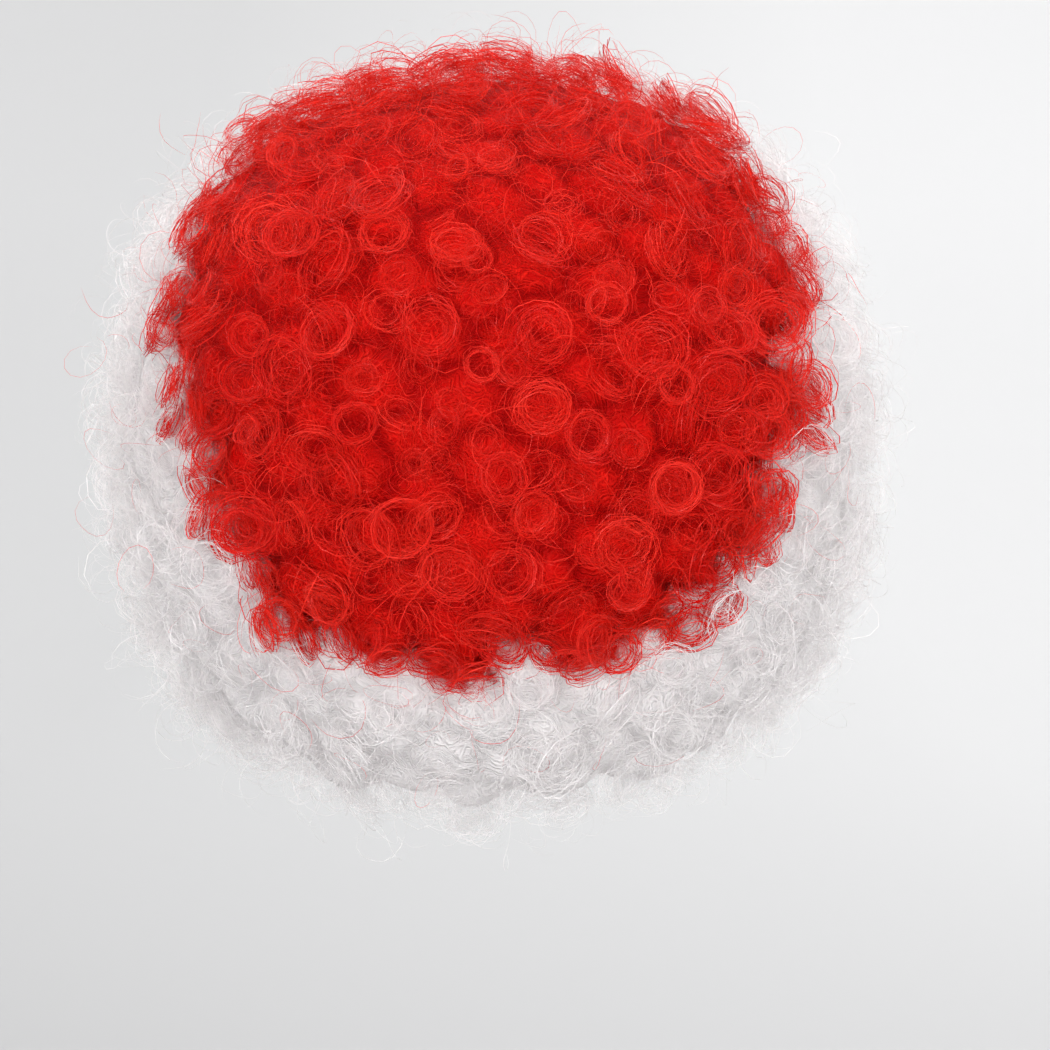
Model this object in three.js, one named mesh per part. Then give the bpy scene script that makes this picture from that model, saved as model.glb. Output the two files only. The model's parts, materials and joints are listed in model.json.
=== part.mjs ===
// Afro wig: a stretch-net cap that fits the head, with two fields of short curled hair on it.
// Red hair covers the crown and the back of the head, and white hair surrounds it.
// Millimetres and degrees, +Z up. The origin is where the top of the head meets the cap.
// The face looks along -Y, so the nape is at +Y and the wearer's left side is at +X.
import * as THREE from "three";
import { ConvexHull } from "three/addons/math/ConvexHull.js";

// Driving dimensions
const HEAD = { halfWidth: 77, halfDepth: 97, halfHeight: 95, centreZ: -95 };
const CAP_EDGE = { back: 128, side: 100, front: 68 }; // angle of the hem down from the crown
const CAP_WALL = 1.5;
const CAP_FACETS = 32;
const CAP_SECTIONS = [
  { share: 0.1, hem: 0 }, // share of the way from the crown to the hem
  { share: 0.22, hem: 0 },
  { share: 0.34, hem: 0 },
  { share: 0.46, hem: 0 },
  { share: 0.58, hem: 0 },
  { share: 0.7, hem: 0 },
  { share: 0.82, hem: 0 },
  { share: 0.92, hem: 0 },
  { share: 0.94, hem: 1.5 }, // thickness that the rolled hem adds on the inside
  { share: 1.0, hem: 1.5 },
];

const AFRO = { halfWidth: 147, halfDepth: 152, halfHeight: 147, centreY: 6, centreZ: -72, roundness: 2.25 };
const AFRO_EDGE = { back: 147, side: 134, front: 91 }; // angle of the lowest locks down from the top
const NAPE_DROP = 17; // how much lower the round outside hangs at the nape
const LOCK = { spacing: 26, groove: 11, eye: 7, climb: 5, crest: 0.56, jitter: 0.16 };
const LIP_ROUNDING = 10; // how far the locks draw in at the lower edge of the hair
const CAP_GAP = 0.9; // clearance of the hair's flat facets from the round cap
const FIELD_GAP = 0.5; // clearance between the red and the white hair

// The red field is what a square-cornered oval cone from the middle of the hair takes in, opening up and back
const RED_FIELD = { elevation: 33, halfAcross: 51, halfUpDown: 59, squareness: 2.8 };

const RED = 0xd0140f;
const WHITE = 0xe9e6e6;
const NET = 0xdedad6;

const rad = THREE.MathUtils.degToRad;
const GOLDEN_ANGLE = Math.PI * (3 - Math.sqrt(5));
const HAIR_MIDDLE = new THREE.Vector3(0, AFRO.centreY, AFRO.centreZ);

// A number from -1 to 1 that is the same on every run
function scatter(seed) {
  return 2 * THREE.MathUtils.seededRandom(seed) - 1;
}

// Angle of an edge down from the top, on a smooth wave through its back, side and front values
function edgeAngle({ back, side, front }, azimuth) {
  const mean = (back + front) / 4 + side / 2;
  const lean = (back - front) / 2;
  const pinch = (back + front) / 4 - side / 2;
  return rad(mean + lean * Math.cos(azimuth) + pinch * Math.cos(2 * azimuth));
}

function towards(polar, azimuth) {
  const ring = Math.sin(polar);
  return new THREE.Vector3(ring * Math.sin(azimuth), ring * Math.cos(azimuth), Math.cos(polar));
}

function pieceMesh(name, points, faces, color, roughness) {
  const geometry = new THREE.BufferGeometry().setFromPoints(points).setIndex(faces);
  geometry.computeVertexNormals();
  const material = new THREE.MeshStandardMaterial({ color, roughness, metalness: 0 });
  const mesh = new THREE.Mesh(geometry, material);
  mesh.name = name;
  return mesh;
}

// Cap: an oval net dome that fits the head, with a hem from the forehead over the ears to the nape
function capPoint(grown, share, azimuth) {
  const way = towards(share * edgeAngle(CAP_EDGE, azimuth), azimuth);
  return new THREE.Vector3(
    (HEAD.halfWidth + grown) * way.x,
    (HEAD.halfDepth + grown) * way.y,
    HEAD.centreZ + (HEAD.halfHeight + grown) * way.z,
  );
}

function capRing(grown, share) {
  return Array.from({ length: CAP_FACETS }, (_, i) => capPoint(grown, share, (2 * Math.PI * i) / CAP_FACETS));
}

function capMesh() {
  const outside = CAP_SECTIONS.map(({ share }) => capRing(CAP_WALL, share));
  const inside = CAP_SECTIONS.map(({ share, hem }) => capRing(-hem, share)).reverse();
  const rings = [...outside, ...inside];
  const points = [capPoint(CAP_WALL, 0, 0), ...rings.flat(), capPoint(0, 0, 0)];
  const top = 0;
  const seat = points.length - 1;
  const at = (ring, i) => 1 + ring * CAP_FACETS + (i % CAP_FACETS);
  const faces = [];
  for (let i = 0; i < CAP_FACETS; i++) {
    faces.push(top, at(0, i + 1), at(0, i));
    for (let ring = 0; ring < rings.length - 1; ring++) {
      faces.push(at(ring, i), at(ring, i + 1), at(ring + 1, i));
      faces.push(at(ring, i + 1), at(ring + 1, i + 1), at(ring + 1, i));
    }
    faces.push(seat, at(rings.length - 1, i), at(rings.length - 1, i + 1));
  }
  return pieceMesh("wig_cap", points, faces, NET, 0.9);
}

// How far a ray from the middle of the hair goes before it leaves a form
function reach(isInside, way) {
  let near = 0;
  let far = AFRO.halfDepth + AFRO.halfHeight;
  while (far - near > 1e-4) {
    const middle = (near + far) / 2;
    if (isInside(way.clone().multiplyScalar(middle).add(HAIR_MIDDLE))) near = middle;
    else far = middle;
  }
  return near;
}

// The round outside of the hair, as high as the crests of its locks
function insideAfro(point) {
  const x = point.x / AFRO.halfWidth;
  const y = (point.y - AFRO.centreY) / AFRO.halfDepth;
  const above = point.z - AFRO.centreZ;
  const backward = Math.max(0, Math.cos(Math.atan2(x, y)));
  const halfHeight = AFRO.halfHeight + (above < 0 ? NAPE_DROP * backward ** 2 : 0);
  return Math.hypot(x, y) ** AFRO.roundness + Math.abs(above / halfHeight) ** AFRO.roundness < 1;
}

// The hollow under the hair: round the cap down to its hem, then straight down past the neck
function insideHollow(point) {
  const grown = CAP_WALL + CAP_GAP;
  const x = point.x / (HEAD.halfWidth + grown);
  const y = point.y / (HEAD.halfDepth + grown);
  const height = (point.z - HEAD.centreZ) / (HEAD.halfHeight + grown);
  const hem = edgeAngle(CAP_EDGE, Math.atan2(x, y));
  const ring = height > Math.cos(hem) ? Math.sqrt(Math.max(0, 1 - height ** 2)) : Math.sin(hem);
  return Math.hypot(x, y) < ring;
}

// Directions of the locks, on a spiral from the top that spaces them evenly
function lockDirections() {
  const radius = (AFRO.halfWidth + AFRO.halfDepth + AFRO.halfHeight) / 3;
  const lockArea = (Math.sqrt(3) / 2) * LOCK.spacing ** 2;
  const count = Math.round((4 * Math.PI * radius ** 2) / lockArea);
  const stray = (LOCK.jitter * LOCK.spacing) / radius;
  return Array.from({ length: count }, (_, i) => {
    const way = towards(Math.acos(1 - (2 * i + 1) / count), i * GOLDEN_ANGLE);
    const shift = new THREE.Vector3(scatter(3 * i + 1), scatter(3 * i + 2), scatter(3 * i + 3));
    return way.addScaledVector(shift, stray).normalize();
  });
}

// The hair is parted into one cell for each lock, with a corner wherever three locks meet
function partHair(ways) {
  const numberOf = new Map(ways.map((way, i) => [way, i]));
  const corners = new ConvexHull().setFromPoints(ways).faces.map((face) => {
    const edges = [face.edge, face.edge.next, face.edge.prev];
    const points = edges.map((edge) => edge.head().point);
    const middle = points.reduce((sum, point) => sum.add(point), new THREE.Vector3()).normalize();
    return { way: middle, locks: points.map((point) => numberOf.get(point)) };
  });
  const cells = ways.map((way, i) => {
    const mine = corners.filter((corner) => corner.locks.includes(i));
    const east = new THREE.Vector3().crossVectors(mine[0].way, way).normalize();
    const north = new THREE.Vector3().crossVectors(way, east);
    const bearing = ({ way: to }) => Math.atan2(to.dot(north), to.dot(east));
    return { way, corners: mine.sort((a, b) => bearing(a) - bearing(b)) };
  });
  return cells;
}

function isRed(way) {
  const turned = way.clone().applyAxisAngle(new THREE.Vector3(1, 0, 0), -rad(RED_FIELD.elevation));
  const across = Math.abs(turned.x) / Math.tan(rad(RED_FIELD.halfAcross));
  const upDown = Math.abs(turned.z) / Math.tan(rad(RED_FIELD.halfUpDown));
  const { squareness } = RED_FIELD;
  return turned.y > 0 && across ** squareness + upDown ** squareness < turned.y ** squareness;
}

function fieldOf(way) {
  const azimuth = Math.atan2(way.x, way.y);
  if (Math.acos(way.z) > edgeAngle(AFRO_EDGE, azimuth)) return "bare";
  return isRed(way) ? "red" : "white";
}

// Hair of one colour: locks side by side from the cap outwards, each topped by a coiled curl with a low eye
function hairMesh(name, field, cells, color) {
  const points = [];
  const faces = [];
  const fields = cells.map(({ way }) => fieldOf(way));
  const addPoint = (way, distance) => points.push(way.clone().multiplyScalar(distance).add(HAIR_MIDDLE)) - 1;

  // Where a field ends, its corners draw back towards its own locks to leave the gap
  const made = new Map();
  function cornerOf(corner) {
    if (made.has(corner)) return made.get(corner);
    const mine = corner.locks.filter((i) => fields[i] === field);
    const way = corner.way.clone();
    const isEdge = mine.length < corner.locks.length;
    const isLip = corner.locks.some((i) => fields[i] === "bare");
    if (isEdge) {
      const inward = mine.reduce((sum, i) => sum.add(cells[i].way), new THREE.Vector3()).normalize().sub(way);
      way.addScaledVector(inward.normalize(), FIELD_GAP / 2 / HEAD.halfWidth).normalize();
    }
    const inner = reach(insideHollow, way);
    const outer = reach(insideAfro, way) - LOCK.groove - (isLip ? LIP_ROUNDING : 0);
    const pair = { top: addPoint(way, outer), root: addPoint(way, inner) };
    made.set(corner, pair);
    return pair;
  }

  cells.forEach(({ way, corners }, lock) => {
    if (fields[lock] !== field) return;
    const count = corners.length;
    const outer = reach(insideAfro, way);
    const eye = addPoint(way, outer - LOCK.eye);
    const root = addPoint(way, reach(insideHollow, way));
    const rims = corners.map(cornerOf);
    const crests = corners.map((corner, k) => {
      const crestWay = way.clone().lerp(corner.way, LOCK.crest).normalize();
      const climb = ((k + lock) % count) / (count - 1);
      return addPoint(crestWay, reach(insideAfro, crestWay) - LOCK.climb * (1 - climb));
    });
    for (let k = 0; k < count; k++) {
      const next = (k + 1) % count;
      faces.push(eye, crests[k], crests[next]);
      faces.push(crests[k], rims[k].top, crests[next]);
      faces.push(rims[k].top, rims[next].top, crests[next]);
      faces.push(root, rims[next].root, rims[k].root);
      const beside = corners[k].locks.find((i) => i !== lock && corners[next].locks.includes(i));
      if (fields[beside] !== field) {
        faces.push(rims[next].top, rims[k].top, rims[k].root);
        faces.push(rims[next].top, rims[k].root, rims[next].root);
      }
    }
  });
  return pieceMesh(name, points, faces, color, 0.6);
}

const cells = partHair(lockDirections());

const wig = new THREE.Group();
wig.add(capMesh());
wig.add(hairMesh("crown_hair", "red", cells, RED));
wig.add(hairMesh("surround_hair", "white", cells, WHITE));

export default wig;
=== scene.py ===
import json
import math

import bmesh
import bpy
import numpy as np
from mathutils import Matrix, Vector
from mathutils.bvhtree import BVHTree
from mathutils.kdtree import KDTree

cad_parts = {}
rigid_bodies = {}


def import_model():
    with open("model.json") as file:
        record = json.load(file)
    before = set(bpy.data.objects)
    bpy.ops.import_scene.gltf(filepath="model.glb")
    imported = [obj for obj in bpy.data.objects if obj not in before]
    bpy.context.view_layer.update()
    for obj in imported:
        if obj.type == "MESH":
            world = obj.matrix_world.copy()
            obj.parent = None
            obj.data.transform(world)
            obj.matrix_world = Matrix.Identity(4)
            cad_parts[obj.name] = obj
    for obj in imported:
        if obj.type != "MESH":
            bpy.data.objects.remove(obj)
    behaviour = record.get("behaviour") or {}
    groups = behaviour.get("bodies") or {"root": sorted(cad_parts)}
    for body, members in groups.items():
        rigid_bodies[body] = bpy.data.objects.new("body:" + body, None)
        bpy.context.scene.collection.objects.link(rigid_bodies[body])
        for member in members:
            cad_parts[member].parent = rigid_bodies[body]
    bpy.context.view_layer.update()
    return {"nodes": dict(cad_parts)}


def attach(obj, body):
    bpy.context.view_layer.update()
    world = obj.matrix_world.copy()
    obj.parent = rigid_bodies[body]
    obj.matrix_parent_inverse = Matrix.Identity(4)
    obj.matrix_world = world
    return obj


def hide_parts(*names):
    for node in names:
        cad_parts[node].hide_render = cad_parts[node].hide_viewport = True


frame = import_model()


# Cap: a soft dome of fine stretch net that fits the head and is open underneath.
# The hair is machine-sewn to it in rows, and its edge is turned in over an elastic as a hem.
MERGE_DISTANCE = 1e-5
CAP_ROUND_LEVELS = 1
CAP_MIDDLE = Vector((0.0, 0.0, -0.095))
CAP_HALF = Vector((0.077, 0.097, 0.095))
CAP_EDGE = {"back": 128.0, "side": 100.0, "front": 68.0}
ROOT_REACH = 0.005
SEWN_ROWS = 12.0
STITCHES_ROUND = 150.0
RIBS_ROUND = 420.0
HEM_START = 0.925
NET_CELLS_PER_METRE = 460.0
THREAD_FADE = (0.06, 0.22)
TAPE_FADE = (0.10, 0.16)
STITCH_DIP = 0.45
NET_RELIEF = 0.0006
NET_THREAD = (0.90, 0.88, 0.85, 1.0)
WHITE_ROOTS = (0.66, 0.64, 0.64, 1.0)
RED_ROOTS = (0.55, 0.02, 0.02, 1.0)
TAPE = (0.93, 0.92, 0.90, 1.0)
HEM = (0.88, 0.86, 0.83, 1.0)


def merged_copy(name, node):
    """A new piece with the shape of a CAD node, its loose triangles joined up."""
    source = frame["nodes"][node].data
    mesh = bpy.data.meshes.new(name)
    mesh.from_pydata([v.co for v in source.vertices], [], [p.vertices for p in source.polygons])
    work = bmesh.new()
    work.from_mesh(mesh)
    bmesh.ops.remove_doubles(work, verts=work.verts, dist=MERGE_DISTANCE)
    work.to_mesh(mesh)
    work.free()
    piece = bpy.data.objects.new(name, mesh)
    bpy.context.scene.collection.objects.link(piece)
    return piece


def settle(piece):
    """Turns what the modifiers make of a piece into its own plain mesh."""
    depsgraph = bpy.context.evaluated_depsgraph_get()
    mesh = bpy.data.meshes.new_from_object(piece.evaluated_get(depsgraph))
    piece.modifiers.clear()
    piece.data = mesh


def round_off(piece, levels):
    """Rounds a faceted shape by subdivision."""
    smoother = piece.modifiers.new("round", "SUBSURF")
    smoother.levels = levels
    smoother.render_levels = levels
    settle(piece)
    piece.data.shade_smooth()


def place(tree, kind, inputs=None, **settings):
    """Adds a node, sets its properties, and wires or sets its inputs by name or number."""
    node = tree.nodes.new(kind)
    for name, value in settings.items():
        setattr(node, name, value)
    for key, value in (inputs or {}).items():
        if isinstance(key, int):
            entry = node.inputs[key]
        else:
            entry = next(s for s in node.inputs if s.name == key and s.enabled)
        if isinstance(value, bpy.types.NodeSocket):
            tree.links.new(value, entry)
        else:
            entry.default_value = value
    return node


def out(node, name=None):
    """The output of a node by name, or its first one."""
    return next(s for s in node.outputs if s.enabled and name in (None, s.name))


def maths(tree, operation, a, b=0.0):
    """The result of a sum on two values or outputs."""
    return out(place(tree, "ShaderNodeMath", {0: a, 1: b}, operation=operation))


def blend(tree, factor, a, b):
    """A colour between two colours."""
    return out(place(tree, "ShaderNodeMix", {"Factor": factor, "A": a, "B": b}, data_type="RGBA"))


def fade(tree, value, start, end, low=0.0, high=1.0):
    """A value that goes from low to high while another goes from start to end."""
    return out(place(tree, "ShaderNodeMapRange", {"Value": value, "From Min": start, "From Max": end,
                                                  "To Min": low, "To Max": high}))


def new_material(name):
    """An empty material and its node tree."""
    material = bpy.data.materials.new(name)
    material.use_nodes = True
    material.node_tree.nodes.clear()
    return material, material.node_tree


def finish_material(tree, shader):
    place(tree, "ShaderNodeOutputMaterial", {"Surface": out(shader)})


def edge_angle(edge, azimuth):
    """Angle of a lower edge down from the top, on a smooth wave through its back, side and front."""
    mean = (edge["back"] + edge["front"]) / 4 + edge["side"] / 2
    lean = (edge["back"] - edge["front"]) / 2
    pinch = (edge["back"] + edge["front"]) / 4 - edge["side"] / 2
    return math.radians(mean + lean * math.cos(azimuth) + pinch * math.cos(2 * azimuth))


def chart_cap(mesh):
    """Lays out the net: turns round the head across, and the way from the crown to the hem up."""
    chart = mesh.uv_layers.new(name="cap_chart")
    for face in mesh.polygons:
        spots = []
        for number in face.vertices:
            way = mesh.vertices[number].co - CAP_MIDDLE
            way = Vector(part / half for part, half in zip(way, CAP_HALF)).normalized()
            azimuth = math.atan2(way.x, way.y)
            spots.append((azimuth, math.acos(way.z) / edge_angle(CAP_EDGE, azimuth)))
        crosses_front = max(a for a, _ in spots) - min(a for a, _ in spots) > math.pi
        for loop, (azimuth, share) in zip(face.loop_indices, spots):
            whole = 2.0 * math.pi if crosses_front and azimuth < 0.0 else 0.0
            chart.data[loop].uv = ((azimuth + whole) / (2.0 * math.pi), share)


net_finish, tree = new_material("cap_net")
coords = place(tree, "ShaderNodeTexCoord")
chart = place(tree, "ShaderNodeUVMap", uv_map="cap_chart")
parts = place(tree, "ShaderNodeSeparateXYZ", {0: out(chart)})
around, down = out(parts, "X"), out(parts, "Y")
red_behind = place(tree, "ShaderNodeAttribute", attribute_name="red_behind")
roots = blend(tree, out(red_behind, "Fac"), WHITE_ROOTS, RED_ROOTS)
net = place(tree, "ShaderNodeTexVoronoi", {"Vector": out(coords, "Object"), "Scale": NET_CELLS_PER_METRE},
            feature="DISTANCE_TO_EDGE")
threads = fade(tree, out(net), *THREAD_FADE, 1.0, 0.0)
net_colour = blend(tree, threads, roots, NET_THREAD)
off_row = maths(tree, "PINGPONG", maths(tree, "MULTIPLY", down, SEWN_ROWS), 1.0)
tape = fade(tree, off_row, *TAPE_FADE, 1.0, 0.0)
stitch = maths(tree, "PINGPONG", maths(tree, "MULTIPLY", around, STITCHES_ROUND), 1.0)
sewn = fade(tree, stitch, 0.0, 1.0, STITCH_DIP, 1.0)
rows_colour = blend(tree, tape, net_colour, blend(tree, sewn, roots, TAPE))
hem_mask = maths(tree, "GREATER_THAN", down, HEM_START)
rib = maths(tree, "PINGPONG", maths(tree, "MULTIPLY", around, RIBS_ROUND), 1.0)
cap_colour = blend(tree, hem_mask, rows_colour, blend(tree, rib, roots, HEM))
height = maths(tree, "ADD", threads, maths(tree, "MULTIPLY", tape, sewn))
relief = place(tree, "ShaderNodeBump", {"Height": height, "Strength": 0.6, "Distance": NET_RELIEF})
shader = place(tree, "ShaderNodeBsdfPrincipled",
               {"Base Color": cap_colour, "Normal": out(relief), "Roughness": 0.8, "Specular IOR Level": 0.25})
finish_material(tree, shader)

cap = merged_copy("net_cap", "wig_cap")
round_off(cap, CAP_ROUND_LEVELS)
chart_cap(cap.data)
red_solid = BVHTree.FromObject(frame["nodes"]["crown_hair"], bpy.context.evaluated_depsgraph_get())
is_red = np.array([red_solid.find_nearest(v.co)[3] < ROOT_REACH for v in cap.data.vertices], np.float32)
cap.data.attributes.new("red_behind", "FLOAT", "POINT").data.foreach_set("value", is_red)
cap.data.materials.append(net_finish)
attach(cap, "root")
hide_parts("wig_cap")


# Packed hair: the inner mass of crimped synthetic fibre, sewn to the rows of the cap by its roots.
# Single fibres can't be told apart in it, and it is darker than the curls, as little light gets down to it.
HAIR_MIDDLE = Vector((0.0, 0.006, -0.072))
BED_SINK = 0.006
BED_LUMPS = 0.5
BED_SMOOTHING = 5
MEAN_SPREAD = 0.08
OUTER_DEPTH = 0.85
POINTS_AT_A_TIME = 1000
LEAST_WEIGHT = 1e-12
BORDER_CLEAR = 0.012
STRAY_REACH = 0.040
RIM_REACH = 0.010
RIM_DEPTH = 0.87
HANG_LOW, HANG_HIGH = -0.137, -0.045
HAIR_HALF = Vector((0.147, 0.152, 0.147))
HAIR_EDGE = {"back": 147.0, "side": 134.0, "front": 91.0}
LIP_ANGLE = math.radians(9.0)
INNER_ANGLE = math.radians(32.0)
INNER_CLEAR = 0.004
BORDER_EDGE = 0.003
BED_ROUND_LEVELS = 1
CAP_SIDE = 0.010
EYE_REACH = 0.008
WOUND_LAYERS = [(0.018, 0.0011), (0.013, 0.0009), (0.010, 0.0013)]
TANGLES_PER_METRE = 120.0
TANGLE_REACH = 0.006
CELL_SALT = 97.0
EYE_FADE = (0.95, 0.75)
FILAMENT_RELIEF = 0.0012
FACES_IN = -0.3
VALLEY_SHADE_DEPTH = 0.004
PACKED_GLOSS = 0.08
RED_DEEP = (0.53, 0.0, 0.0, 1.0)
RED_DEEP_LIT = (0.81, 0.012, 0.006, 1.0)
RED_SHADOW = (0.39, 0.0, 0.0, 1.0)
WHITE_DEEP = (0.82, 0.79, 0.79, 1.0)
WHITE_DEEP_LIT = (0.98, 0.95, 0.95, 1.0)
WHITE_SHADOW = (0.77, 0.74, 0.74, 1.0)
SEAM_REACH = 0.008
SEAM_RAGGED = 0.8
SEAM_NOISE_PER_METRE = 220.0
SEAM_FADE = (0.40, 0.75)


def wound_group():
    """Filaments wound in rings about the middles of cells, in three sizes of cell, the brightest on top."""
    group = bpy.data.node_groups.new("wound_filaments", "ShaderNodeTree")
    group.interface.new_socket("Filament", in_out="OUTPUT", socket_type="NodeSocketFloat")
    coords = place(group, "ShaderNodeTexCoord")
    surface = place(group, "ShaderNodeNewGeometry")
    tangle = place(group, "ShaderNodeTexNoise",
                   {"Vector": out(coords, "Object"), "Scale": TANGLES_PER_METRE, "Detail": 3.0})
    bent = place(group, "ShaderNodeVectorMath", {0: out(tangle, "Color"), "Scale": TANGLE_REACH}, operation="SCALE")
    spot = place(group, "ShaderNodeVectorMath", {0: out(coords, "Object"), 1: out(bent)}, operation="ADD")
    layers = []
    for size, pitch in WOUND_LAYERS:
        moved = place(group, "ShaderNodeVectorMath", {0: out(spot), 1: (size, 2.0 * size, 3.0 * size)},
                      operation="ADD")
        cells = place(group, "ShaderNodeTexVoronoi", {"Vector": out(moved), "Scale": 1.0 / size})
        rings = maths(group, "MULTIPLY", out(cells, "Distance"), size / pitch)
        hue = place(group, "ShaderNodeSeparateColor", {0: out(cells, "Color")})
        salt = maths(group, "MULTIPLY", out(hue, "Red"), CELL_SALT)
        number = maths(group, "ADD", maths(group, "FLOOR", rings), salt)
        own = place(group, "ShaderNodeTexWhiteNoise", {"W": number}, noise_dimensions="1D")
        outward = place(group, "ShaderNodeVectorMath", {0: out(moved), 1: out(cells, "Position")},
                        operation="SUBTRACT")
        spoke = place(group, "ShaderNodeVectorMath", {0: out(outward)}, operation="NORMALIZE")
        facing = place(group, "ShaderNodeVectorMath", {0: out(spoke), 1: out(surface, "Normal")},
                       operation="DOT_PRODUCT")
        open_middle = fade(group, maths(group, "ABSOLUTE", out(facing, "Value")), *EYE_FADE)
        # Painted light: each ring is lit along its crest and shaded at its edges, over its own random tone.
        across = maths(group, "MULTIPLY", maths(group, "FRACT", rings), math.pi)
        ridge = maths(group, "MULTIPLY", open_middle, maths(group, "SINE", across))
        layers.append(maths(group, "MULTIPLY", ridge, out(own, "Value")))
    brightest = maths(group, "MAXIMUM", maths(group, "MAXIMUM", layers[0], layers[1]), layers[2])
    place(group, "NodeGroupOutput", {"Filament": brightest})
    return group


wound = wound_group()


def packed_finish(name, deep, lit, shadow, beside=None):
    """Wound filaments with painted light and shade, darker deep between the locks, and over the seam the tones beside,
    partly hairs and partly painted bounced light.
    """
    material, tree = new_material(name)
    look = place(tree, "ShaderNodeGroup", node_tree=wound)
    valley_shade = place(tree, "ShaderNodeAttribute", attribute_name="valley_shade")
    # Painted light and shade: lit on the filament crests, deep in the gaps between them, and in the shadow tone deep
    # between the locks.
    colour = blend(tree, out(valley_shade, "Fac"), blend(tree, out(look), deep, lit), shadow)
    # Near the seam, the tones of the field beside: partly its hairs lying over the seam, partly painted light bounced
    # from it.
    if beside:
        seam = place(tree, "ShaderNodeAttribute", attribute_name="seam")
        coords = place(tree, "ShaderNodeTexCoord")
        noise = place(tree, "ShaderNodeTexNoise", {"Vector": out(coords, "Object"),
                                                   "Scale": SEAM_NOISE_PER_METRE, "Detail": 4.0})
        ragged = maths(tree, "MULTIPLY", maths(tree, "ADD", out(noise, "Fac"), -0.5), SEAM_RAGGED)
        red_hairs_and_bounce = fade(tree, maths(tree, "ADD", ragged, out(seam, "Fac")), *SEAM_FADE)
        colour = blend(tree, red_hairs_and_bounce, colour, blend(tree, out(look), *beside))
    relief = place(tree, "ShaderNodeBump", {"Height": out(look), "Strength": 0.8, "Distance": FILAMENT_RELIEF})
    shader = place(tree, "ShaderNodeBsdfPrincipled",
                   {"Base Color": colour, "Normal": out(relief), "Roughness": 0.6,
                    "Specular IOR Level": PACKED_GLOSS})
    finish_material(tree, shader)
    return material


cap_surface = BVHTree.FromObject(cap, bpy.context.evaluated_depsgraph_get())


def lock_eyes(piece):
    """The low middles of the locks: corners that all the corners next to them stand above."""
    points = [v.co.copy() for v in piece.data.vertices]
    height = [(p - HAIR_MIDDLE).length for p in points]
    is_low = [True] * len(points)
    for edge in piece.data.edges:
        first, second = edge.vertices
        is_low[first if height[first] > height[second] else second] = False
    eyes = KDTree(len(points))
    for number, point in enumerate(points):
        if is_low[number] and cap_surface.find_nearest(point)[3] > CAP_SIDE:
            eyes.insert(point, number)
    eyes.balance()
    return eyes


def surface_radius(points):
    """Mean distance from the middle of the hair to its outside, over the locks round each point."""
    outer = []
    for node in ("crown_hair", "surround_hair"):
        outer += [v.co - HAIR_MIDDLE for v in frame["nodes"][node].data.vertices]
    outer = np.unique(np.round([way for way in outer if ellipse_share(way) > OUTER_DEPTH], 5), axis=0)
    outer_radius = np.linalg.norm(outer, axis=1)
    outer_ways = outer / outer_radius[:, None]
    ways = np.array([(p - HAIR_MIDDLE).normalized() for p in points])
    radius = np.empty(len(points))
    for start in range(0, len(points), POINTS_AT_A_TIME):
        some = slice(start, start + POINTS_AT_A_TIME)
        turned = 1.0 - ways[some] @ outer_ways.T
        weight = np.exp(-2.0 * turned / MEAN_SPREAD ** 2) + LEAST_WEIGHT
        radius[some] = weight @ outer_radius / weight.sum(axis=1)
    return radius


def ellipse_share(way):
    """How far out a point lies, as a share of the round outside of the hair."""
    return Vector(d / h for d, h in zip(way, HAIR_HALF)).length


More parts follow.
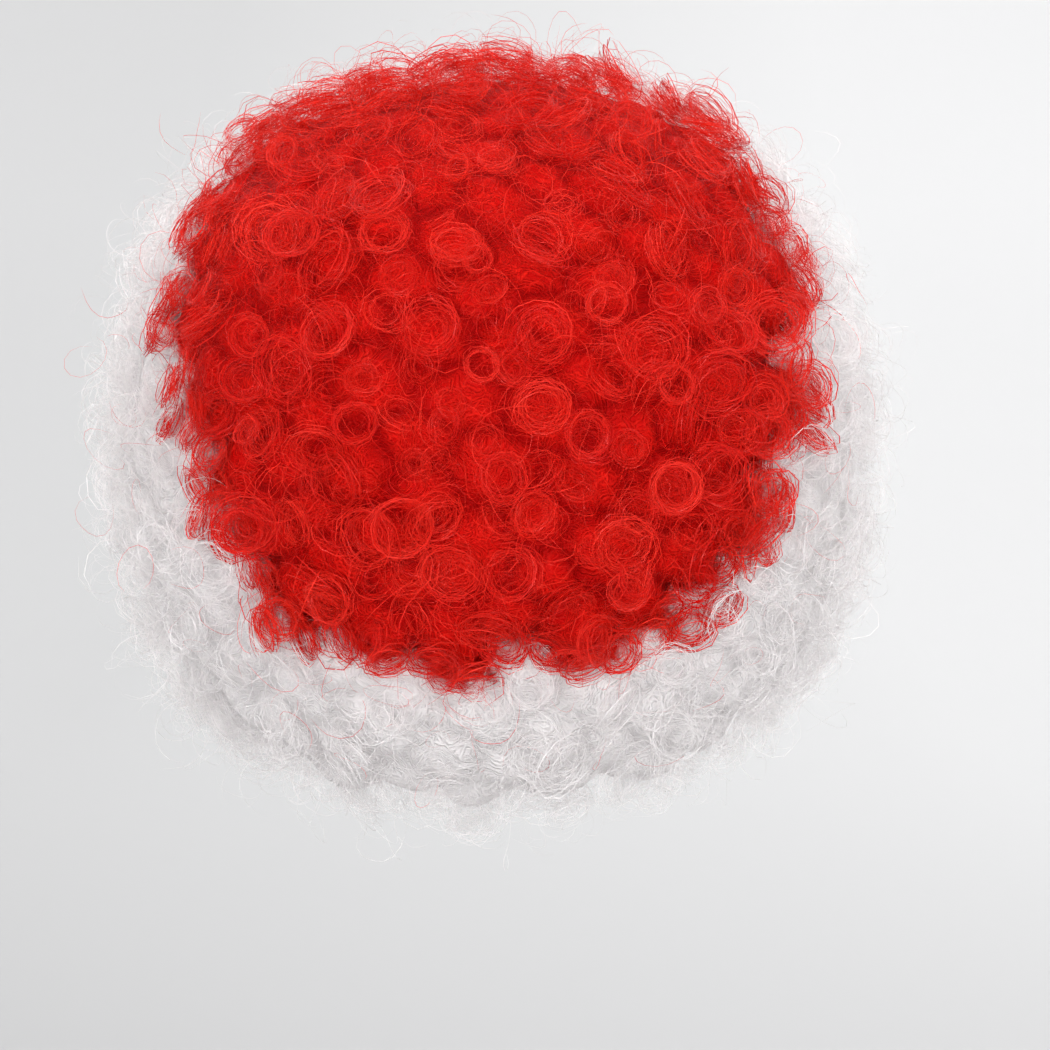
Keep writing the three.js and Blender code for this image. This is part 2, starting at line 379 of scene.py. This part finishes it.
def packed_hair(name, node, finish, beside, clear):
    """The bed of one field of hair, a little under its solid, marked with where each kind of curl grows."""
    piece = merged_copy(name, node)
    eyes = lock_eyes(piece)
    round_off(piece, BED_ROUND_LEVELS)
    points = [v.co.copy() for v in piece.data.vertices]
    to_cap = np.array([cap_surface.find_nearest(p)[3] for p in points])
    to_other = np.array([beside.find_nearest(p)[3] for p in points])
    ways = [(p - HAIR_MIDDLE).normalized() for p in points]
    radius = np.array([(p - HAIR_MIDDLE).length for p in points])
    mean_radius = surface_radius(points)
    above_mean = radius - mean_radius
    depth = np.array([ellipse_share(p - HAIR_MIDDLE) for p in points])
    is_loose = to_cap > CAP_SIDE
    is_outside = is_loose & (to_other >= clear)
    is_eye = is_outside & np.array([eyes.find(p)[2] < EYE_REACH for p in points])
    is_front = np.array([p.y < 0.0 for p in points])
    is_low_side = np.array([HANG_LOW < p.z < HANG_HIGH for p in points]) & ~is_front
    above_edge = np.array([edge_angle(HAIR_EDGE, math.atan2(w.x, w.y)) - math.acos(w.z) for w in ways])
    faces_in = np.array([v.normal.xy.dot(w.xy) < FACES_IN for v, w in zip(piece.data.vertices, ways)])
    is_near_border = is_loose & (to_other > BORDER_EDGE) & (to_other < BORDER_CLEAR) & (depth > RIM_DEPTH)
    # Painted shade between the locks: it grows as the bed sinks below the mean height of the locks round it.
    marks = {"valley_shade": (-above_mean / VALLEY_SHADE_DEPTH).clip(0.0, 1.0),
             "seam": np.where(is_loose, 1.0 - to_other / SEAM_REACH, 0.0).clip(0.0, 1.0),
             "outside": is_outside, "front": is_outside & is_front, "back": is_outside & ~is_front,
             "eye": is_eye, "front_eye": is_eye & is_front, "back_eye": is_eye & ~is_front,
             "border": is_outside & (to_other < STRAY_REACH),
             "lip": is_outside & (above_edge < LIP_ANGLE) & ~faces_in,
             "inner_lip": (to_cap > INNER_CLEAR) & (above_edge < INNER_ANGLE) & faces_in & (to_other > BORDER_CLEAR),
             "near_border": is_near_border & ~is_low_side, "overhung": is_near_border & is_low_side,
             "rim": is_outside & (to_other < RIM_REACH) & (depth > RIM_DEPTH)}
    for kind, values in marks.items():
        piece.data.attributes.new(kind, "FLOAT", "POINT").data.foreach_set("value", values.astype(np.float32))
    lump = above_mean * BED_LUMPS - BED_SINK
    bed_radius = np.where(is_loose & (lump < above_mean), mean_radius + lump, radius)
    for vertex, way, length in zip(piece.data.vertices, ways, bed_radius):
        vertex.co = HAIR_MIDDLE + way * length
    loose_side = piece.vertex_groups.new(name="loose_side")
    free = np.where(is_loose, (to_other / BORDER_CLEAR).clip(0.0, 1.0), 0.0)
    for number, weight in enumerate(free):
        loose_side.add([number], float(weight), "REPLACE")
    soften = piece.modifiers.new("soften", "SMOOTH")
    soften.vertex_group = loose_side.name
    soften.iterations = BED_SMOOTHING
    settle(piece)
    piece.data.materials.append(finish)
    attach(piece, "root")
    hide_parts(node)
    return piece


white_solid = BVHTree.FromObject(frame["nodes"]["surround_hair"], bpy.context.evaluated_depsgraph_get())
red_bed = packed_hair("crown_packed_hair", "crown_hair",
                      packed_finish("red_packed", RED_DEEP, RED_DEEP_LIT, RED_SHADOW),
                      white_solid, 0.0)
white_bed = packed_hair("surround_packed_hair", "surround_hair",
                        packed_finish("white_packed", WHITE_DEEP, WHITE_DEEP_LIT, WHITE_SHADOW,
                                      (RED_DEEP, RED_DEEP_LIT)),
                        red_solid, BORDER_CLEAR)


# Fibres: flat crimped filaments of synthetic hair, each set in a coil of a turn or two.
# They lie singly, and curls are wound from them.
COIL_KINDS = 12
SHADES = 16
COLUMN_MARGIN = 0.2
COIL_STEPS = 12
COIL_WAVER = 0.07
COIL_SWAY = 0.08
COIL_OVAL = 0.12
COIL_ROLL = 0.8
STRIP_TWIST = (0.0, 3.14)
TIP_WIDTH = 0.15
TIP_GROWTH = 5.0


def coil(name, rng, width, turns, rise, twist):
    """A strip in a coil of unit radius about Z that winds in, climbs a little and wavers."""
    along = np.linspace(0.0, 1.0, COIL_STEPS + 1)
    angle = 2.0 * math.pi * turns * along + rng.uniform(0.0, 2.0 * math.pi)
    waver = COIL_WAVER * np.sin(2.0 * math.pi * (along * rng.uniform(1.0, 2.4) + rng.random()))
    radius = np.linspace(rng.uniform(0.82, 1.0), rng.uniform(0.96, 1.12), COIL_STEPS + 1) + waver
    oval = 1.0 + rng.uniform(-COIL_OVAL, COIL_OVAL)
    sway = COIL_SWAY * np.sin(2.0 * math.pi * (along * rng.uniform(1.0, 2.0) + rng.random()))
    height = rise * (along - 0.5) + sway
    path = np.stack([radius * np.cos(angle) * oval, radius * np.sin(angle) / oval, height], axis=1)
    tangent = np.gradient(path, axis=0)
    tangent /= np.linalg.norm(tangent, axis=1, keepdims=True)
    spoke = np.stack([np.cos(angle), np.sin(angle), np.zeros_like(angle)], axis=1)
    spoke -= tangent * np.sum(spoke * tangent, axis=1, keepdims=True)
    spoke /= np.linalg.norm(spoke, axis=1, keepdims=True)
    third = np.cross(tangent, spoke)
    roll = (twist + rng.uniform(-COIL_ROLL, COIL_ROLL) * along)[:, None]
    side = np.cos(roll) * spoke + np.sin(roll) * third
    half = 0.5 * width * np.minimum(1.0, TIP_WIDTH + TIP_GROWTH * np.minimum(along, 1.0 - along))[:, None]
    points = np.concatenate([path - side * half, path + side * half])
    low = np.arange(COIL_STEPS)
    high = low + COIL_STEPS + 1
    faces = np.stack([low, low + 1, high + 1, high], axis=1)
    mesh = bpy.data.meshes.new(name)
    mesh.from_pydata(points.tolist(), [], faces.tolist())
    strip = mesh.uv_layers.new(name="OFBake")
    for number, face in enumerate(mesh.polygons):
        for loop, (across, ahead) in zip(face.loop_indices, ((0, 0), (0, 1), (1, 1), (1, 0))):
            strip.data[loop].uv = (across, (number + ahead) / COIL_STEPS)
    mesh.shade_smooth()
    return bpy.data.objects.new(name, mesh)


def coil_set(name, seed, width, turns, rise):
    """A stock of different coils to pick from."""
    rng = np.random.default_rng(seed)
    coils = bpy.data.collections.new(name)
    for number in range(COIL_KINDS):
        coils.objects.link(coil(f"{name}_{number}", rng, rng.uniform(*width), rng.uniform(*turns),
                                rng.uniform(*rise), rng.uniform(*STRIP_TWIST)))
    return coils


fibre_coils = coil_set("fibre_coil", 11, (0.020, 0.030), (1.0, 1.4), (0.1, 0.6))
border_coils = coil_set("border_coil", 13, (0.030, 0.044), (1.0, 1.4), (0.1, 0.6))
loose_coils = coil_set("loose_coil", 23, (0.012, 0.017), (0.6, 1.0), (0.2, 1.0))


# Curls: ringlets of heat-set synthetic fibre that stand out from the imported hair, mostly seen end on as rings.
# One tree lays them out over a bed: a point for each curl, then a bundle of coils on each point.
POINTS_TO_THIN = 20.0
OUTERMOST_RING = 1.06
CURL_TONE, FIBRE_TONE = 0.4, 0.6
DRIFTS_ALONG = 5.0
COLUMN_SALT = 7.3


def curl_tree():
    """Node tree that makes one field of curls from a bed and a stock of coils."""
    tree = bpy.data.node_groups.new("curls", "GeometryNodeTree")
    sockets = {
        "Bed": "Geometry", "Coils": "Collection", "Finish": "Material", "Where": "String", "Spacing": "Float",
        "Coils in curl": "Int", "Smallest": "Float", "Largest": "Float", "Lean": "Float", "Looseness": "Float",
        "Length": "Float", "Lift": "Float", "Lift spread": "Float", "Inner ring": "Float", "Cup": "Float",
        "Outward": "Float", "Seed": "Int",
    }
    for name, kind in sockets.items():
        tree.interface.new_socket(name, in_out="INPUT", socket_type=f"NodeSocket{kind}")
    tree.interface.new_socket("Curls", in_out="OUTPUT", socket_type="NodeSocketGeometry")
    given = place(tree, "NodeGroupInput")

    def asked(name):
        return out(given, name)

    def chance(kind, low, high, shift):
        seed = maths(tree, "ADD", asked("Seed"), float(shift))
        return out(place(tree, "FunctionNodeRandomValue", {"Min": low, "Max": high, "Seed": seed}, data_type=kind))

    where = place(tree, "GeometryNodeInputNamedAttribute", {"Name": asked("Where")}, data_type="FLOAT")
    chosen = place(tree, "FunctionNodeCompare", {"A": out(where, "Attribute"), "B": 0.5},
                   data_type="FLOAT", operation="GREATER_THAN")
    density = maths(tree, "DIVIDE", POINTS_TO_THIN, maths(tree, "POWER", asked("Spacing"), 2.0))
    patch = place(tree, "GeometryNodeSeparateGeometry", {"Geometry": asked("Bed"), "Selection": out(chosen)},
                  domain="FACE")
    spots = place(tree, "GeometryNodeDistributePointsOnFaces",
                  {"Mesh": out(patch, "Selection"), "Distance Min": asked("Spacing"), "Density Max": density,
                   "Seed": asked("Seed")}, distribute_method="POISSON")

    lean_low = maths(tree, "MULTIPLY", asked("Lean"), -1.0)
    lean = place(tree, "ShaderNodeCombineXYZ", {
        "X": chance("FLOAT", lean_low, asked("Lean"), 1),
        "Y": chance("FLOAT", lean_low, asked("Lean"), 2),
        "Z": chance("FLOAT", 0.0, 2.0 * math.pi, 3)})
    turn = place(tree, "FunctionNodeEulerToRotation", {"Euler": out(lean)})
    spot = place(tree, "GeometryNodeInputPosition")
    from_middle = place(tree, "ShaderNodeVectorMath", {0: out(spot), 1: HAIR_MIDDLE}, operation="SUBTRACT")
    straight_out = place(tree, "ShaderNodeVectorMath", {0: out(from_middle)}, operation="NORMALIZE")
    facing = place(tree, "ShaderNodeMix", {"Factor": asked("Outward"), "A": out(spots, "Normal"),
                                           "B": out(straight_out)}, data_type="VECTOR")
    faced = place(tree, "FunctionNodeAlignRotationToVector", {"Rotation": out(spots, "Rotation"),
                                                              "Vector": out(facing)}, axis="Z")
    stand = place(tree, "FunctionNodeRotateRotation", {"Rotation": out(faced), "Rotate By": out(turn)},
                  rotation_space="LOCAL")
    more = maths(tree, "MULTIPLY", asked("Lift spread"), chance("FLOAT", -1.0, 1.0, 4))
    rise = maths(tree, "ADD", asked("Lift"), more)
    lift = place(tree, "ShaderNodeVectorMath", {0: out(facing), "Scale": rise}, operation="SCALE")
    lifted = place(tree, "GeometryNodeSetPosition", {"Geometry": out(spots, "Points"), "Offset": out(lift)})

    known = tree.nodes.new("GeometryNodeCaptureAttribute")
    known.domain = "POINT"
    known.capture_items.new("ROTATION", "Stand")
    known.capture_items.new("FLOAT", "Size")
    known.capture_items.new("FLOAT", "Shade")
    tree.links.new(out(lifted), known.inputs[0])
    tree.links.new(out(stand), known.inputs["Stand"])
    tree.links.new(chance("FLOAT", asked("Smallest"), asked("Largest"), 5), known.inputs["Size"])
    tree.links.new(chance("FLOAT", 0.0, 1.0, 6), known.inputs["Shade"])
    curl_stand, curl_size, curl_shade = (known.outputs[n] for n in ("Stand", "Size", "Shade"))

    bundle = place(tree, "GeometryNodeDuplicateElements",
                   {"Geometry": known.outputs[0], "Amount": asked("Coils in curl")}, domain="POINT")
    loose_low = maths(tree, "MULTIPLY", asked("Looseness"), -1.0)
    ring = chance("FLOAT", asked("Inner ring"), OUTERMOST_RING, 13)
    sunk = maths(tree, "MULTIPLY", asked("Cup"), maths(tree, "SUBTRACT", ring, 1.0))
    aside = place(tree, "ShaderNodeCombineXYZ", {
        "X": chance("FLOAT", loose_low, asked("Looseness"), 7),
        "Y": chance("FLOAT", loose_low, asked("Looseness"), 8),
        "Z": maths(tree, "ADD", sunk, maths(tree, "MULTIPLY", asked("Length"), chance("FLOAT", -0.5, 0.5, 9)))})
    scaled = place(tree, "ShaderNodeVectorMath", {0: out(aside), "Scale": curl_size}, operation="SCALE")
    shift = place(tree, "FunctionNodeRotateVector", {"Vector": out(scaled), "Rotation": curl_stand})
    spread = place(tree, "GeometryNodeSetPosition", {"Geometry": out(bundle, "Geometry"), "Offset": out(shift)})

    wag = place(tree, "ShaderNodeCombineXYZ", {
        "X": chance("FLOAT", loose_low, asked("Looseness"), 10),
        "Y": chance("FLOAT", loose_low, asked("Looseness"), 11),
        "Z": chance("FLOAT", 0.0, 2.0 * math.pi, 12)})
    wag_turn = place(tree, "FunctionNodeEulerToRotation", {"Euler": out(wag)})
    laid = place(tree, "FunctionNodeRotateRotation", {"Rotation": curl_stand, "Rotate By": out(wag_turn)},
                 rotation_space="LOCAL")
    stock = place(tree, "GeometryNodeCollectionInfo", {"Collection": asked("Coils"), "Separate Children": True,
                                                       "Reset Children": True})
    coils = place(tree, "GeometryNodeInstanceOnPoints", {
        "Points": out(spread), "Instance": out(stock), "Pick Instance": True,
        "Instance Index": chance("INT", 0, COIL_KINDS - 1, 14), "Rotation": out(laid),
        "Scale": maths(tree, "MULTIPLY", curl_size, ring)})

    own_tone = maths(tree, "MULTIPLY", chance("FLOAT", 0.0, 1.0, 15), FIBRE_TONE)
    shade = maths(tree, "ADD", maths(tree, "MULTIPLY", curl_shade, CURL_TONE), own_tone)
    shaded = place(tree, "GeometryNodeStoreNamedAttribute", {"Geometry": out(coils), "Name": "shade", "Value": shade},
                   data_type="FLOAT", domain="INSTANCE")
    whole = place(tree, "GeometryNodeRealizeInstances", {"Geometry": out(shaded)})

    strip = place(tree, "GeometryNodeInputNamedAttribute", {"Name": "OFBake"}, data_type="FLOAT_VECTOR")
    strip_parts = place(tree, "ShaderNodeSeparateXYZ", {0: out(strip, "Attribute")})
    own_shade = place(tree, "GeometryNodeInputNamedAttribute", {"Name": "shade"}, data_type="FLOAT")
    column = maths(tree, "FLOOR", maths(tree, "MULTIPLY", out(own_shade, "Attribute"), SHADES - 0.01), 0.0)
    inset = maths(tree, "ADD", maths(tree, "MULTIPLY", out(strip_parts, "X"), 1.0 - 2.0 * COLUMN_MARGIN), COLUMN_MARGIN)
    across = maths(tree, "DIVIDE", maths(tree, "ADD", column, inset), float(SHADES))
    chart = place(tree, "ShaderNodeCombineXYZ", {"X": across, "Y": out(strip_parts, "Y")})
    charted = place(tree, "GeometryNodeStoreNamedAttribute",
                    {"Geometry": out(whole), "Name": "OFBake", "Value": out(chart)},
                    data_type="FLOAT2", domain="CORNER")
    done = place(tree, "GeometryNodeSetMaterial", {"Geometry": out(charted), "Material": asked("Finish")})
    place(tree, "NodeGroupOutput", {"Curls": out(done)})
    return tree


curls = curl_tree()


def lay_curls(name, bed, slot, **values):
    """Runs the curl tree over a bed and keeps its result as one plain piece."""
    piece = bpy.data.objects.new(name, bed.data)
    bpy.context.scene.collection.objects.link(piece)
    layout = piece.modifiers.new("curls", "NODES")
    layout.node_group = curls
    for item in curls.interface.items_tree:
        if item.in_out == "INPUT" and item.name in values:
            layout[item.identifier] = values[item.name]
    settle(piece)
    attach(piece, "root")


def strand_group():
    """Each strip in the shade of its column of the chart, with a slow drift along it."""
    group = bpy.data.node_groups.new("strands", "ShaderNodeTree")
    for name in ("Dark", "Light"):
        group.interface.new_socket(name, in_out="INPUT", socket_type="NodeSocketColor")
    group.interface.new_socket("Colour", in_out="OUTPUT", socket_type="NodeSocketColor")
    given = place(group, "NodeGroupInput")
    strip = place(group, "ShaderNodeUVMap", uv_map="OFBake")
    parts = place(group, "ShaderNodeSeparateXYZ", {0: out(strip)})
    column = maths(group, "FLOOR", maths(group, "MULTIPLY", out(parts, "X"), float(SHADES)))
    place_along = maths(group, "MULTIPLY", out(parts, "Y"), DRIFTS_ALONG)
    salted = maths(group, "ADD", place_along, maths(group, "MULTIPLY", column, COLUMN_SALT))
    drift = place(group, "ShaderNodeTexNoise", {"W": salted, "Scale": 1.0, "Detail": 1.0}, noise_dimensions="1D")
    lighter = maths(group, "SUBTRACT", out(drift), 0.5)
    tone = maths(group, "ADD", maths(group, "DIVIDE", column, SHADES - 1.0), lighter)
    place(group, "NodeGroupOutput", {"Colour": blend(group, tone, out(given, "Dark"), out(given, "Light"))})
    return group


strands = strand_group()


def hair_finish(name, dark, light):
    """Smooth synthetic fibre in shades from dark to light."""
    material, tree = new_material(name)
    look = place(tree, "ShaderNodeGroup", node_tree=strands)
    for entry, tone in (("Dark", dark), ("Light", light)):
        look.inputs[entry].default_value = tone
    shader = place(tree, "ShaderNodeBsdfPrincipled",
                   {"Base Color": out(look, "Colour"), "Roughness": 0.38, "Specular IOR Level": 0.16})
    finish_material(tree, shader)
    return material


RED_DARK = (0.60, 0.0, 0.0, 1.0)
RED_LIGHT = (0.93, 0.034, 0.018, 1.0)
red_fibre = hair_finish("red_fibre", RED_DARK, RED_LIGHT)
crown_look = {"Coils": fibre_coils, "Finish": red_fibre}
lay_curls("crown_ringlets", red_bed, "red_hair", **crown_look, **{
    "Where": "eye", "Spacing": 0.016, "Coils in curl": 37, "Smallest": 0.0062, "Largest": 0.0128, "Lean": 0.6,
    "Looseness": 0.15, "Length": 0.6, "Lift": 0.007, "Lift spread": 0.0035, "Inner ring": 0.4, "Cup": 0.4, "Seed": 3})
lay_curls("crown_small_ringlets", red_bed, "red_hair", **crown_look, **{
    "Where": "outside", "Spacing": 0.017, "Coils in curl": 20, "Smallest": 0.0055, "Largest": 0.0095, "Lean": 0.9,
    "Looseness": 0.22, "Length": 0.9, "Lift": 0.005, "Lift spread": 0.003, "Inner ring": 0.45, "Cup": 0.3,
    "Seed": 31})
border_look = {"Coils": border_coils, "Finish": red_fibre}
lay_curls("crown_rim_ringlets", red_bed, "red_hair", **border_look, **{
    "Where": "rim", "Spacing": 0.013, "Coils in curl": 36, "Smallest": 0.0065, "Largest": 0.0095, "Lean": 0.5,
    "Looseness": 0.15, "Length": 0.6, "Lift": 0.008, "Lift spread": 0.003, "Inner ring": 0.25, "Cup": 0.4,
    "Outward": 0.9, "Seed": 33})
lay_curls("crown_hanging_ringlets", white_bed, "red_hair", **border_look, **{
    "Where": "overhung", "Spacing": 0.011, "Coils in curl": 40, "Smallest": 0.0065, "Largest": 0.0095, "Lean": 0.6,
    "Looseness": 0.15, "Length": 0.6, "Lift": 0.004, "Lift spread": 0.002, "Inner ring": 0.25, "Cup": 0.4,
    "Outward": 0.7, "Seed": 32})
lay_curls("crown_open_rings", red_bed, "red_hair", **crown_look, **{
    "Where": "outside", "Spacing": 0.030, "Coils in curl": 22, "Smallest": 0.0055, "Largest": 0.0115, "Lean": 0.6,
    "Looseness": 0.07, "Length": 0.35, "Lift": 0.011, "Lift spread": 0.002, "Inner ring": 0.8, "Cup": 0.2,
    "Outward": 0.5, "Seed": 34})
lay_curls("crown_tangle", red_bed, "red_hair", **crown_look, **{
    "Where": "outside", "Spacing": 0.0125, "Coils in curl": 7, "Smallest": 0.006, "Largest": 0.012, "Lean": 1.5,
    "Looseness": 0.8, "Length": 1.5, "Lift": 0.003, "Lift spread": 0.004, "Inner ring": 0.4, "Cup": 0.0, "Seed": 35})

WHITE_DARK = (0.83, 0.80, 0.80, 1.0)
WHITE_LIGHT = (0.985, 0.955, 0.955, 1.0)
white_fibre = hair_finish("white_fibre", WHITE_DARK, WHITE_LIGHT)
surround_look = {"Coils": fibre_coils, "Finish": white_fibre}
for side, seed in (("front", 5), ("back", 7)):
    lay_curls(f"{side}_ringlets", white_bed, "white_hair", **surround_look, **{
        "Where": f"{side}_eye", "Spacing": 0.016, "Coils in curl": 22, "Smallest": 0.0075, "Largest": 0.0115,
        "Lean": 0.7, "Looseness": 0.22, "Length": 0.8, "Lift": 0.006, "Lift spread": 0.0025, "Inner ring": 0.4,
        "Cup": 0.3, "Seed": seed})
    lay_curls(f"{side}_small_ringlets", white_bed, "white_hair", **surround_look, **{
        "Where": side, "Spacing": 0.018, "Coils in curl": 15, "Smallest": 0.0065, "Largest": 0.0105, "Lean": 1.1,
        "Looseness": 0.35, "Length": 1.0, "Lift": 0.005, "Lift spread": 0.003, "Inner ring": 0.45, "Cup": 0.2,
        "Seed": seed + 30})
lay_curls("surround_tangle", white_bed, "white_hair", **surround_look, **{
    "Where": "outside", "Spacing": 0.0125, "Coils in curl": 5, "Smallest": 0.006, "Largest": 0.012, "Lean": 1.5,
    "Looseness": 0.8, "Length": 1.5, "Lift": 0.003, "Lift spread": 0.004, "Inner ring": 0.4, "Cup": 0.0, "Seed": 37})
lay_curls("surround_border_curls", white_bed, "white_hair", **surround_look, **{
    "Where": "near_border", "Spacing": 0.009, "Coils in curl": 8, "Smallest": 0.0045, "Largest": 0.0070, "Lean": 0.8,
    "Looseness": 0.4, "Length": 0.8, "Lift": 0.001, "Lift spread": 0.001, "Inner ring": 0.5, "Cup": 0.2,
    "Outward": 0.5, "Seed": 51})
lay_curls("surround_inner_curls", white_bed, "white_hair", **surround_look, **{
    "Where": "inner_lip", "Spacing": 0.011, "Coils in curl": 6, "Smallest": 0.0045, "Largest": 0.0075, "Lean": 0.5,
    "Looseness": 0.4, "Length": 0.4, "Lift": 0.001, "Lift spread": 0.001, "Inner ring": 0.4, "Cup": 0.0, "Seed": 53})
lay_curls("surround_lip_curls", white_bed, "white_hair", **surround_look, **{
    "Where": "lip", "Spacing": 0.0115, "Coils in curl": 14, "Smallest": 0.006, "Largest": 0.009, "Lean": 1.1,
    "Looseness": 0.4, "Length": 1.0, "Lift": 0.002, "Lift spread": 0.003, "Inner ring": 0.4, "Cup": 0.2, "Seed": 39})


# Loose fibres: single hairs that have sprung out of the curls and stand off the surface as open loops.
# They are the same synthetic fibre, finer to the eye, and a few red ones have strayed over the white.
loose_look = {"Coils": loose_coils, "Smallest": 0.006, "Largest": 0.012, "Lean": 1.57, "Looseness": 0.6,
              "Length": 1.2, "Lift": 0.009, "Lift spread": 0.007, "Inner ring": 0.6, "Cup": 0.0}
lay_curls("crown_loose_fibres", red_bed, "red_hair", **loose_look, **{
    "Finish": red_fibre, "Where": "outside", "Spacing": 0.012, "Coils in curl": 6, "Seed": 41})
lay_curls("surround_loose_fibres", white_bed, "white_hair", **loose_look, **{
    "Finish": white_fibre, "Where": "outside", "Spacing": 0.013, "Coils in curl": 4, "Seed": 43})
lay_curls("stray_red_fibres", white_bed, "red_hair", **loose_look, **{
    "Finish": red_fibre, "Where": "border", "Spacing": 0.016, "Coils in curl": 1, "Seed": 47})

for coils in (fibre_coils, border_coils, loose_coils):
    for strip in list(coils.objects):
        bpy.data.objects.remove(strip)
    bpy.data.collections.remove(coils)


# Stage: a pale paper floor that sweeps up into a wall all round, so that every view has a plain ground.
# Its colour is painted light and shade: a little brighter towards the far wall and on the side of the key light.
FLOOR_HEIGHT = -0.42
FLOOR_RADIUS = 2.2
COVE_RADIUS = 2.4
WALL_TOP = 2.6
STAGE_STEPS = 72
COVE_STEPS = 12
BRIGHTENS_BEFORE = (-0.6, -3.6)
BRIGHTENS_BEHIND = (0.6, 3.6)
SHARE_BEHIND = 0.6
SHADE_AWAY_FROM_KEY = (-0.4, 0.4)
DEEPEST_KEY_SHADE = 0.18
PAPER_NEAR_SHADED = (0.63, 0.63, 0.635, 1.0)
PAPER_FAR_LIT = (0.94, 0.94, 0.945, 1.0)

profile = [(0.0, FLOOR_HEIGHT), (FLOOR_RADIUS * 0.5, FLOOR_HEIGHT), (FLOOR_RADIUS, FLOOR_HEIGHT)]
for step in range(1, COVE_STEPS + 1):
    bend = 0.5 * math.pi * step / COVE_STEPS
    profile.append((FLOOR_RADIUS + COVE_RADIUS * math.sin(bend),
                    FLOOR_HEIGHT + COVE_RADIUS * (1.0 - math.cos(bend))))
profile.append((FLOOR_RADIUS + COVE_RADIUS, WALL_TOP))
stage_points = []
for radius, height in profile[1:]:
    for step in range(STAGE_STEPS):
        around = 2.0 * math.pi * step / STAGE_STEPS
        stage_points.append((radius * math.cos(around), radius * math.sin(around), height))
stage_points.append((0.0, 0.0, FLOOR_HEIGHT))
middle = len(stage_points) - 1
stage_faces = []
for step in range(STAGE_STEPS):
    after = (step + 1) % STAGE_STEPS
    stage_faces.append((middle, step, after))
    for row in range(len(profile) - 2):
        low, high = row * STAGE_STEPS, (row + 1) * STAGE_STEPS
        stage_faces.append((low + step, high + step, high + after, low + after))
stage_mesh = bpy.data.meshes.new("stage")
stage_mesh.from_pydata(stage_points, [], stage_faces)
stage_mesh.shade_smooth()
stage = bpy.data.objects.new("stage", stage_mesh)
bpy.context.scene.collection.objects.link(stage)
stage_finish, tree = new_material("stage_paper")
coords = place(tree, "ShaderNodeTexCoord")
parts = place(tree, "ShaderNodeSeparateXYZ", {0: out(coords, "Object")})
# Painted light and shade: lighter towards the far walls before and behind, darker nearer the middle.
before = fade(tree, out(parts, "Y"), *BRIGHTENS_BEFORE)
behind = fade(tree, out(parts, "Y"), *BRIGHTENS_BEHIND, 0.0, SHARE_BEHIND)
tone = blend(tree, maths(tree, "MAXIMUM", before, behind), PAPER_NEAR_SHADED, PAPER_FAR_LIT)
# Painted shade on the side away from the key light.
darker = fade(tree, out(parts, "X"), *SHADE_AWAY_FROM_KEY, 0.0, DEEPEST_KEY_SHADE)
paper = blend(tree, darker, tone, (0.0, 0.0, 0.0, 1.0))
shader = place(tree, "ShaderNodeBsdfPrincipled", {"Base Color": paper, "Roughness": 0.95})
finish_material(tree, shader)
stage_mesh.materials.append(stage_finish)


# Light: broad soft boxes all round and overhead, as in a product studio.
# Each has a name, a place, a side in metres, a spread in degrees and its watts.
SKY_STRENGTH = 0.99
SOFT_BOXES = [
    ("key", (-1.5, 1.9, 1.2), 1.6, 180.0, 11.5),
    ("fill", (1.9, 1.5, 0.5), 1.6, 180.0, 5.8),
    ("low", (0.3, 3.0, 0.05), 0.7, 30.0, 1.25),
    ("front_right", (-1.7, -1.7, 0.9), 1.6, 180.0, 7.5),
    ("front_left", (1.7, -1.7, 0.9), 1.6, 180.0, 7.5),
    ("top", (0.0, 0.2, 2.3), 2.0, 180.0, 12.0),
]
for name, spot, side, spread, watts in SOFT_BOXES:
    lamp = bpy.data.lights.new(name, "AREA")
    lamp.size = side
    lamp.spread = math.radians(spread)
    lamp.energy = watts
    holder = bpy.data.objects.new(name, lamp)
    holder.location = spot
    holder.visible_camera = False
    holder.rotation_mode = "QUATERNION"
    holder.rotation_quaternion = (HAIR_MIDDLE - Vector(spot)).to_track_quat("-Z", "Y")
    bpy.context.scene.collection.objects.link(holder)
world = bpy.data.worlds.new("studio")
world.use_nodes = True
world.node_tree.nodes["Background"].inputs["Color"].default_value = (1.0, 1.0, 1.0, 1.0)
world.node_tree.nodes["Background"].inputs["Strength"].default_value = SKY_STRENGTH
bpy.context.scene.world = world
bpy.context.scene.view_settings.view_transform = "Standard"


# Camera: behind the head and a little above it, at the photograph's angle and framing.
# Its place and lens follow from the photograph's scale and from where the middle of the hair is in it.
PHOTO_SIDE = 1050
PHOTO_PIXELS_PER_METRE = 2650.0
PHOTO_MIDDLE_OF_HAIR = (490.0, 445.0)
CAMERA_DISTANCE = 1.5
CAMERA_ELEVATION = math.radians(4.0)

aside = (PHOTO_SIDE / 2 - PHOTO_MIDDLE_OF_HAIR[0]) / PHOTO_PIXELS_PER_METRE
below = (PHOTO_SIDE / 2 - PHOTO_MIDDLE_OF_HAIR[1]) / PHOTO_PIXELS_PER_METRE
aim = HAIR_MIDDLE + Vector((-aside, 0.0, -below))
back = Vector((0.0, math.cos(CAMERA_ELEVATION), math.sin(CAMERA_ELEVATION)))
lens = bpy.data.cameras.new("camera")
half_view = PHOTO_SIDE / 2 / PHOTO_PIXELS_PER_METRE
lens.lens = lens.sensor_width / 2 * CAMERA_DISTANCE / half_view
camera = bpy.data.objects.new("camera", lens)
camera.location = aim + back * CAMERA_DISTANCE
camera.rotation_mode = "QUATERNION"
camera.rotation_quaternion = (-back).to_track_quat("-Z", "Y")
bpy.context.scene.collection.objects.link(camera)
bpy.context.scene.camera = camera
